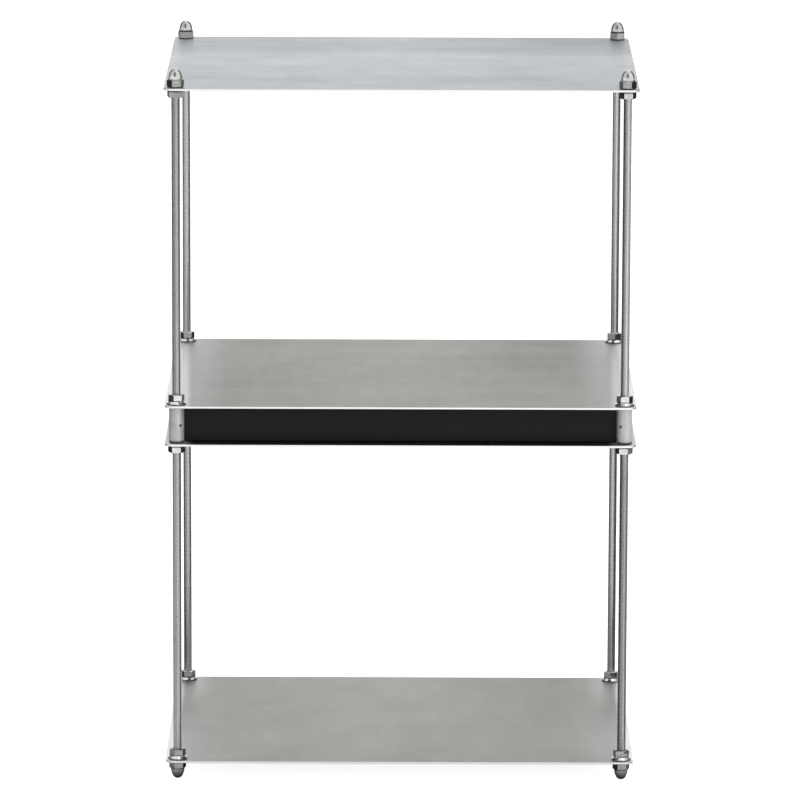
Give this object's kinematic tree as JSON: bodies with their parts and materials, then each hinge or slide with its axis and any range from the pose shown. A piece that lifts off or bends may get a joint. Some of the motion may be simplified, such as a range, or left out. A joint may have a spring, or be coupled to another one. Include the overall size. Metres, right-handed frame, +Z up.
{
  "type": "modular shelving unit",
  "caption": "Open shelving unit: thin bare metal plates clamped on threaded corner rods by hex, flange and domed nuts, with a shallow black drawer between the middle plates.",
  "frame": {"origin": "on the floor, under the centre of the plates", "axes": "+Z up, +X to the right seen from the front, -Y towards the front, where the drawer opens"},
  "size_m": [0.6, 0.45, 0.9215],
  "materials": {
    "rolled_aluminium": "bare rolled sheet, fine grain along the width, light scuffs",
    "rod_steel": "bright zinc-plated threaded rod",
    "bright_nut_steel": "bright plated nuts, polished facets",
    "tube_aluminium": "dull drawn tube",
    "dark_screw_steel": "blackened grub screw",
    "black_lacquered_board": "satin black lacquer on fine board",
    "beech_dowel": "plain turned dowel",
    "small_fixing_steel": "zinc-plated",
    "black_nylon": "moulded, matt",
    "glide_plastic": "slippery white strip",
    "black_coated_steel": "fine powder coat"
  },
  "bodies": {
    "frame": {"bottom_flange_nut_back_left": "bright_nut_steel", "bottom_flange_nut_back_right": "bright_nut_steel", "bottom_flange_nut_front_left": "bright_nut_steel", "bottom_flange_nut_front_right": "bright_nut_steel", "bottom_shelf": "rolled_aluminium", "cap_nut_back_left": "bright_nut_steel", "cap_nut_back_right": "bright_nut_steel", "cap_nut_front_left": "bright_nut_steel", "cap_nut_front_right": "bright_nut_steel", "deck_hex_nut_back_left": "bright_nut_steel", "deck_hex_nut_back_right": "bright_nut_steel", "deck_hex_nut_front_left": "bright_nut_steel", "deck_hex_nut_front_right": "bright_nut_steel", "drawer_deck": "rolled_aluminium", "foot_nut_back_left": "bright_nut_steel", "foot_nut_back_right": "bright_nut_steel", "foot_nut_front_left": "bright_nut_steel", "foot_nut_front_right": "bright_nut_steel", "glide_strip_left": "glide_plastic", "glide_strip_right": "glide_plastic", "guide_rail_left": "black_coated_steel", "guide_rail_nuts": "small_fixing_steel", "guide_rail_right": "black_coated_steel", "guide_rail_screws": "small_fixing_steel", "middle_flange_nut_back_left": "bright_nut_steel", "middle_flange_nut_back_right": "bright_nut_steel", "middle_flange_nut_front_left": "bright_nut_steel", "middle_flange_nut_front_right": "bright_nut_steel", "middle_shelf": "rolled_aluminium", "spacer_tube_back_left": "tube_aluminium", "spacer_tube_back_right": "tube_aluminium", "spacer_tube_front_left": "tube_aluminium", "spacer_tube_front_right": "tube_aluminium", "stop_pin_left": "small_fixing_steel", "stop_pin_right": "small_fixing_steel", "threaded_rod_back_left": "rod_steel", "threaded_rod_back_right": "rod_steel", "threaded_rod_front_left": "rod_steel", "threaded_rod_front_right": "rod_steel", "top_hex_nut_back_left": "bright_nut_steel", "top_hex_nut_back_right": "bright_nut_steel", "top_hex_nut_front_left": "bright_nut_steel", "top_hex_nut_front_right": "bright_nut_steel", "top_shelf": "rolled_aluminium", "tube_grub_screw_back_left": "dark_screw_steel", "tube_grub_screw_back_right": "dark_screw_steel", "tube_grub_screw_front_left": "dark_screw_steel", "tube_grub_screw_front_right": "dark_screw_steel"},
    "drawer": {"drawer_back": "black_lacquered_board", "drawer_back_screws": "small_fixing_steel", "drawer_bottom": "black_lacquered_board", "drawer_dowels": "beech_dowel", "drawer_front": "black_lacquered_board", "drawer_side_left": "black_lacquered_board", "drawer_side_right": "black_lacquered_board", "stop_block_left": "black_nylon", "stop_block_right": "black_nylon", "stop_block_screws": "small_fixing_steel"}
  },
  "joints": [
    {"name": "drawer_slide", "type": "slide", "parent": "frame", "child": "drawer", "axis": [0, -1, 0], "range_m": [0, 0.29]}
  ]
}
